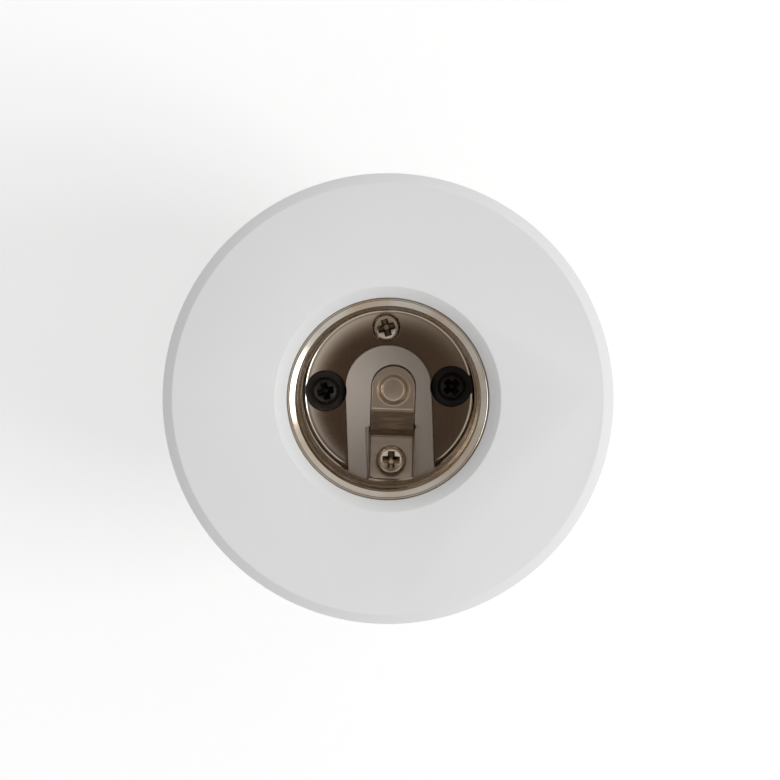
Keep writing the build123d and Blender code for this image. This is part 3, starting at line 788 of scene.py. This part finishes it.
def screw(name, head, shank_radius, shank_length, pitch):
    """Screw with its seat at the origin: a turned head on a rolled thread, with a cross recess."""
    steps = round(shank_length / pitch * screw_samples)
    heights = spaced(0.0, -shank_length + shank_radius * tip_taper, steps)

    def section(turn):
        thread = []
        for height in heights:
            wave = 0.5 + 0.5 * math.cos(2 * math.pi * height / pitch - turn)
            fade = smooth_step(-height / pitch)
            thread.append((shank_radius - screw_thread_depth * (1 - fade * wave), height))
        tip = (shank_radius * tip_flat, -shank_length)
        return head + thread + [tip, (0.0, -shank_length)]

    return carve(turned(name, section, around=64), [cross_recess(head[0][1])])


def pan_head(radius, height, edge):
    """Outline of a domed pan head, from the middle of its top to its seat."""
    dome = [
        (radius * math.sin(turn) ** head_square, edge + (height - edge) * math.cos(turn) ** head_square)
        for turn in spaced(0.0, math.pi / 2, head_steps)[:-1]
    ]
    dome[0] = (0.0, height)
    dome.append((radius, edge))
    return dome + [(radius, edge / 2), (radius * head_seat, 0.0)]


contact_seat_place = Vector((0.0, -10.3 * mm, 47.7 * mm))
leaf_sheet = 0.5 * mm
leaf_turn = math.radians(3.9)
foot_tilt = math.radians(10.0)
leaf_across = Vector((math.cos(leaf_turn), -math.sin(leaf_turn), 0.0))
leaf_along = Vector((math.sin(leaf_turn), math.cos(leaf_turn), 0.0))
foot_normal = leaf_along * math.sin(foot_tilt) + Vector((0.0, 0.0, math.cos(foot_tilt)))
terminal_shank = 1.25 * mm
terminal_length = 5.2 * mm
terminal_pitch = 0.5 * mm
terminal_head = 1.5 * mm
terminal_head_edge = 0.55 * mm
contact_head_radius = 2.3 * mm
shell_head_radius = 2.15 * mm
shell_screw_turn = math.radians(14)
zinc_relief = 0.001 * mm

zinc_plate = plated(
    "zinc_plate",
    (0.74, 0.65, 0.54),
    (0.62, 0.52, 0.42),
    roughness=0.22,
    relief=zinc_relief,
)
contact_screw = screw(
    "contact_screw_turned",
    pan_head(contact_head_radius, terminal_head, terminal_head_edge),
    terminal_shank,
    terminal_length,
    terminal_pitch,
)
seat = Matrix((leaf_across, foot_normal.cross(leaf_across), foot_normal)).transposed().to_4x4()
seat.translation = contact_seat_place + foot_normal * leaf_sheet
contact_screw.data.transform(seat)
stand_for(contact_screw, "contact_screw", "housing", zinc_plate)

shell_screw = screw(
    "shell_screw_turned",
    pan_head(shell_head_radius, terminal_head, terminal_head_edge),
    terminal_shank,
    terminal_length,
    terminal_pitch,
)
shell_screw.data.transform(
    Matrix.Translation((*shell_screw_place, floor_top)) @ Matrix.Rotation(shell_screw_turn, 4, "Z")
)
# Painted shade: the shell screw sits close under the well's top wall and gets a darker copy of the zinc
# plate in place of its shade.
shaded_zinc = plated(
    "shaded_zinc",
    (0.60, 0.53, 0.44),
    (0.50, 0.42, 0.34),
    roughness=0.26,
    relief=zinc_relief,
)
stand_for(shell_screw, "shell_screw", "housing", shaded_zinc)

washer_radius = 3.1 * mm
washer_height = 0.7 * mm
washer_rim = 0.72 * washer_height
washer_round = 0.25 * mm
washer_under = 0.12 * mm
fixing_head_radius = 1.95 * mm
fixing_head_top = 2.0 * mm
fixing_head_edge = 1.1 * mm
fixing_turns = (math.radians(12), math.radians(38))
fixing_shank = 1.5 * mm
fixing_length = floor_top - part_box("fixing_screws")[0].z
fixing_pitch = 1.1 * mm
black_oxide = moulded("black_oxide", (0.015, 0.012, 0.011), 0.40)
black_oxide.node_tree.nodes["Principled BSDF"].inputs["Specular IOR Level"].default_value = 0.3
# The washer takes the place of the pan head's own seat.
fixing_head = pan_head(fixing_head_radius, fixing_head_top, fixing_head_edge)[:-2]
fixing_head += rounded(
    (
        (fixing_head_radius, washer_height, washer_round),
        (washer_radius, washer_rim, washer_round),
        (washer_radius, 0.0, washer_under),
        (fixing_shank, 0.0, 0),
    )
)[:-1]
fixing_screws = None
for place, turn in zip(fixing_places, fixing_turns):
    one = screw("fixing_screws_black", fixing_head, fixing_shank, fixing_length, fixing_pitch)
    one.data.transform(Matrix.Translation((*place, floor_top)) @ Matrix.Rotation(turn, 4, "Z"))
    if fixing_screws is None:
        fixing_screws = one
        continue
    pair = bmesh.new()
    pair.from_mesh(fixing_screws.data)
    pair.from_mesh(one.data)
    pair.to_mesh(fixing_screws.data)
    pair.free()
    bpy.data.meshes.remove(one.data)
stand_for(fixing_screws, "fixing_screws", "housing", black_oxide)


# Centre contact. Nickel plated spring strip: a sloping foot under the contact screw, a bend, a riser and a
# flat round-ended blade over the block's slot, with a pressed dimple that meets the lamp.
leaf_half = 3.24 * mm
leaf_edge = 0.12 * mm
leaf_bend = 0.7 * mm
leaf_tip_centre = 11.2 * mm
foot_back = 2.6 * mm
foot_corner = 0.6 * mm
valley_reach = 3.9 * mm
crown_reach = 7.9 * mm
blade_top = 51.5 * mm
foot_hole = 1.45 * mm
foot_hole_sides = 44
dimple_reach = leaf_tip_centre - 0.25 * mm
dimple_foot = 2.4 * mm
dimple_disc = 1.65 * mm
dimple_dome = 0.05 * mm
dimple_step = 0.46 * mm
ripple_height = 0.03 * mm
ripple_length = 0.85 * mm
ripple_sway = 1.3
ripple_across = 2.1
ripple_drift = 3.0
ripple_ends = 4.0
# Painted shade: the leaf is darkened with its stain colour below this height.
foot_shade_below = 48.3 * mm
leaf_spacing = 0.1 * mm
leaf_divisions = 36
tip_half = 0.06 * mm
half_sheet = leaf_sheet / 2
foot_mid = contact_seat_place.z + half_sheet / math.cos(foot_tilt)
leaf_corners = [
    Vector((-foot_back, foot_mid + foot_back * math.tan(foot_tilt))),
    Vector((valley_reach, foot_mid - valley_reach * math.tan(foot_tilt))),
    Vector((crown_reach, blade_top - half_sheet)),
    Vector((leaf_tip_centre + leaf_half, blade_top - half_sheet)),
]


def bent(corners, radius, steps=10):
    """Path of (reach, height) through corners, each inner one rounded to a radius."""
    path = [corners[0]]
    for before, corner, after in zip(corners, corners[1:], corners[2:]):
        back = (before - corner).normalized()
        ahead = (after - corner).normalized()
        half = back.angle(ahead) / 2
        centre = corner + (back + ahead).normalized() * radius / math.sin(half)
        start = corner + back * radius / math.tan(half) - centre
        end = corner + ahead * radius / math.tan(half) - centre
        whole = start.angle(end)
        for share in spaced(0.0, 1.0, steps):
            mixed = start * math.sin((1 - share) * whole) + end * math.sin(share * whole)
            path.append(centre + mixed / math.sin(whole))
    return path + [corners[-1]]


def along_path(path, spacing):
    """The same path with long straight stretches divided to a spacing."""
    points = []
    for start, end in zip(path, path[1:]):
        count = max(1, math.ceil((end - start).length / spacing))
        points += [start.lerp(end, share) for share in spaced(0.0, 1.0, count)[:-1]]
    return points + [path[-1]]


def leaf_half_width(reach):
    """Half the strip's width: rounded foot corners and a round end."""
    past_tip = max(reach - leaf_tip_centre, 0.0)
    width = math.sqrt(max(leaf_half**2 - past_tip**2, 0.0))
    before_foot = max(foot_corner - foot_back - reach, 0.0)
    return width - foot_corner + math.sqrt(max(foot_corner**2 - before_foot**2, 0.0))


leaf_path = along_path(bent(leaf_corners, leaf_bend), leaf_spacing)
leaf_points = []
for place, point in enumerate(leaf_path):
    ahead = leaf_path[min(place + 1, len(leaf_path) - 1)] - leaf_path[max(place - 1, 0)]
    normal = Vector((-ahead.y, ahead.x)).normalized()
    half = max(leaf_half_width(point.x), tip_half)
    edge = min(leaf_edge, half / 2)
    section = rounded(
        (
            (half, half_sheet, edge),
            (-half, half_sheet, edge),
            (-half, -half_sheet, edge),
            (half, -half_sheet, edge),
        ),
        steps=3,
    )
    top = [Vector((x, half_sheet)) for x in spaced(half - edge, edge - half, leaf_divisions)]
    low = [Vector((x, -half_sheet)) for x in spaced(edge - half, half - edge, leaf_divisions)]
    # The flat rows already hold the points where they meet the rounded corners.
    for across, lift in section[0:3] + top + section[5:11] + low + section[13:15]:
        spread = math.hypot(across, point.x - dimple_reach)
        pressed = dimple_dome * (1 - min(spread / dimple_disc, 1.0) ** 2)
        climb = min(max((dimple_foot - spread) / (dimple_foot - dimple_disc), 0.0), 1.0)
        pressed += dimple_step * (climb + smooth_step(climb)) / 2
        up_riser = (point.x - valley_reach) / (crown_reach - valley_reach)
        ripple = ripple_height * smooth_step(ripple_ends * up_riser)
        ripple *= smooth_step(ripple_ends * (1 - up_riser))
        sway = ripple_sway * math.sin(across / leaf_half * ripple_across + ripple_drift * up_riser)
        pressed += ripple * math.sin(2 * math.pi * point.x / ripple_length + sway)
        reach, height = point + normal * lift
        flat = contact_seat_place + leaf_across * across + leaf_along * reach
        leaf_points.append((flat.x, flat.y, height + pressed))
around = len(leaf_points) // len(leaf_path)
leaf_faces = []
for place in range(len(leaf_path) - 1):
    for side in range(around):
        after = (side + 1) % around
        here = place * around
        leaf_faces.append((here + side, here + after, here + around + after, here + around + side))
leaf_faces.append(tuple(range(around)))
leaf_faces.append(tuple(range(len(leaf_points) - around, len(leaf_points))))
leaf = meshed("centre_contact_bent", leaf_points, leaf_faces)
foot_circle = circle((0.0, 0.0), foot_hole, foot_hole_sides)
foot_cutter = prism("foot_hole", foot_circle, -2 * leaf_sheet, 2 * leaf_sheet)
foot_cutter.data.transform(seat)
carve(leaf, [foot_cutter])
# Painted shade: the foot, the bend and the bottom of the riser, lowest in the well, take the darker stain
# colour in place of their shade; the same colour also makes faint cloudy stains.
spring_strip = plated(
    "spring_strip",
    (0.82, 0.67, 0.53),
    (0.53, 0.43, 0.335),
    roughness=0.24,
    grain=900.0,
    stretch=(0.12, 1.0, 1.0),
    relief=0.02 * mm,
    clouds=110.0,
    cloudy=0.35,
    shade_below=foot_shade_below,
)
spring_strip.node_tree.nodes["Principled BSDF"].inputs["Metallic"].default_value = 0.7
dress(leaf, spring_strip)
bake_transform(leaf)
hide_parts("centre_contact")


# Studio. A white floor under the cap's tip, an even room that is dark overhead where the camera hangs, and
# one large soft lamp high on the right.
floor_low = cad_box[0].z
floor_half = 2.0
floor_glow_strength = 0.255
room_color = (0.70, 0.70, 0.70, 1.0)
overhead_color = (0.080, 0.060, 0.048, 1.0)
room_side_share = 0.32
overhead_lean = math.radians(3.5)
overhead_edge = math.radians(22)
overhead_core = math.radians(6)
floor_paint_color = (0.90, 0.90, 0.90, 1.0)
seen_white = (1.0, 1.0, 1.0, 1.0)
floor_mesh = bpy.data.meshes.new("studio_floor")
floor_mesh.from_pydata(
    [(x, y, floor_low) for x, y in ((-1, -1), (1, -1), (1, 1), (-1, 1))],
    [],
    [(0, 1, 2, 3)],
)
floor_mesh.transform(Matrix.Diagonal((floor_half, floor_half, 1, 1)))
studio_floor = bpy.data.objects.new("studio_floor", floor_mesh)
bpy.context.scene.collection.objects.link(studio_floor)
floor_white = bpy.data.materials.new("floor_white")
floor_white.use_nodes = True
floor_tree = floor_white.node_tree
floor_tree.nodes.remove(floor_tree.nodes["Principled BSDF"])
floor_paint = floor_tree.nodes.new("ShaderNodeBsdfDiffuse")
floor_paint.inputs["Color"].default_value = floor_paint_color
floor_glow = floor_tree.nodes.new("ShaderNodeEmission")
floor_light = floor_tree.nodes.new("ShaderNodeLightPath")
floor_seen = floor_tree.nodes.new("ShaderNodeMath")
floor_seen.operation = "MAXIMUM"
floor_mirrored = floor_tree.nodes.new("ShaderNodeMath")
floor_mirrored.operation = "MAXIMUM"
floor_level = floor_tree.nodes.new("ShaderNodeMath")
floor_level.operation = "MULTIPLY"
floor_level.inputs[1].default_value = floor_glow_strength
floor_sum = floor_tree.nodes.new("ShaderNodeAddShader")
connect(
    floor_tree,
    (floor_light.outputs["Is Camera Ray"], floor_seen.inputs[0]),
    (floor_light.outputs["Is Glossy Ray"], floor_seen.inputs[1]),
    (floor_seen.outputs["Value"], floor_mirrored.inputs[0]),
    (floor_light.outputs["Is Transmission Ray"], floor_mirrored.inputs[1]),
    (floor_mirrored.outputs["Value"], floor_level.inputs[0]),
    (floor_level.outputs["Value"], floor_glow.inputs["Strength"]),
    (floor_paint.outputs["BSDF"], floor_sum.inputs[0]),
    (floor_glow.outputs["Emission"], floor_sum.inputs[1]),
    (floor_sum.outputs["Shader"], floor_tree.nodes["Material Output"].inputs["Surface"]),
)
dress(studio_floor, floor_white)

room = bpy.data.worlds.new("room")
bpy.context.scene.world = room
room.use_nodes = True
room_tree = room.node_tree
room_shade = room_tree.nodes["Background"]
room_way = room_tree.nodes.new("ShaderNodeTexCoord")
room_axes = room_tree.nodes.new("ShaderNodeSeparateXYZ")
room_upward = room_tree.nodes.new("ShaderNodeVectorMath")
room_upward.operation = "DOT_PRODUCT"
room_upward.inputs[1].default_value = (0.0, math.sin(overhead_lean), math.cos(overhead_lean))
room_overhead = room_tree.nodes.new("ShaderNodeMapRange")
room_overhead.interpolation_type = "SMOOTHSTEP"
room_overhead.inputs["From Min"].default_value = math.cos(overhead_edge)
room_overhead.inputs["From Max"].default_value = math.cos(overhead_core)
room_tone = room_tree.nodes.new("ShaderNodeMix")
room_tone.data_type = "RGBA"
room_tone.inputs["A"].default_value = room_color
room_tone.inputs["B"].default_value = overhead_color
room_side = room_tree.nodes.new("ShaderNodeMapRange")
room_side.inputs["From Min"].default_value = -1.0
room_side.inputs["From Max"].default_value = 1.0
room_side.inputs["To Min"].default_value = 1 - room_side_share
room_side.inputs["To Max"].default_value = 1 + room_side_share
room_level = room_tree.nodes.new("ShaderNodeVectorMath")
room_level.operation = "SCALE"
room_light = room_tree.nodes.new("ShaderNodeLightPath")
room_seen = room_tree.nodes.new("ShaderNodeMix")
room_seen.data_type = "RGBA"
room_seen.inputs["B"].default_value = seen_white
connect(
    room_tree,
    (room_way.outputs["Generated"], room_axes.inputs["Vector"]),
    (room_way.outputs["Generated"], room_upward.inputs[0]),
    (room_upward.outputs["Value"], room_overhead.inputs["Value"]),
    (room_axes.outputs["X"], room_side.inputs["Value"]),
    (room_overhead.outputs["Result"], room_tone.inputs["Factor"]),
    (room_tone.outputs["Result"], room_level.inputs[0]),
    (room_side.outputs["Result"], room_level.inputs["Scale"]),
    (room_light.outputs["Is Camera Ray"], room_seen.inputs["Factor"]),
    (room_level.outputs["Vector"], room_seen.inputs["A"]),
    (room_seen.outputs["Result"], room_shade.inputs["Color"]),
)


def soft_lamp(name, azimuth, elevation, distance, size, power):
    """Round soft lamp that looks at the origin from an azimuth and elevation in degrees."""
    turn = math.radians(azimuth)
    rise = math.radians(elevation)
    way = Vector((math.cos(turn) * math.cos(rise), math.sin(turn) * math.cos(rise), math.sin(rise)))
    data = bpy.data.lights.new(name, "AREA")
    data.shape = "DISK"
    data.size = size
    data.energy = power
    lamp = bpy.data.objects.new(name, data)
    lamp.location = way * distance
    lamp.rotation_euler = way.to_track_quat("Z", "Y").to_euler()
    bpy.context.scene.collection.objects.link(lamp)


soft_lamp("window_lamp", azimuth=-13, elevation=53, distance=1.3, size=0.58, power=4.3)


# Camera. It hangs nearly straight above the mouth, leans a little towards +Y and sees the socket turned by
# two degrees in its frame.
picture_size = 780
lens_pixels = 2972.0
face_distance = 420 * mm
face_in_picture = (388.0, 399.5)
camera_lean = 0.031
camera_lean_right = 0.003
camera_roll = math.radians(2.0)
picture_up = Vector((math.sin(camera_roll), math.cos(camera_roll), 0))
picture_right = Vector((math.cos(camera_roll), -math.sin(camera_roll), 0))
camera_back = picture_up * camera_lean + picture_right * camera_lean_right + Vector((0, 0, 1))
camera_back.normalize()
picture_right = picture_up.cross(camera_back).normalized()
picture_up = camera_back.cross(picture_right)
face_centre = Vector((0, 0, cad_box[1].z))
pixel_at_face = face_distance / lens_pixels
camera_place = (
    face_centre
    + camera_back * face_distance
    - picture_right * (face_in_picture[0] - picture_size / 2) * pixel_at_face
    + picture_up * (face_in_picture[1] - picture_size / 2) * pixel_at_face
)
camera_data = bpy.data.cameras.new("camera")
camera_data.sensor_width = 36.0
camera_data.lens = lens_pixels / picture_size * camera_data.sensor_width
camera = bpy.data.objects.new("camera", camera_data)
camera.matrix_world = Matrix(
    (
        (picture_right.x, picture_up.x, camera_back.x, camera_place.x),
        (picture_right.y, picture_up.y, camera_back.y, camera_place.y),
        (picture_right.z, picture_up.z, camera_back.z, camera_place.z),
        (0, 0, 0, 1),
    )
)
bpy.context.scene.collection.objects.link(camera)
bpy.context.scene.camera = camera
bpy.context.scene.view_settings.view_transform = "Standard"
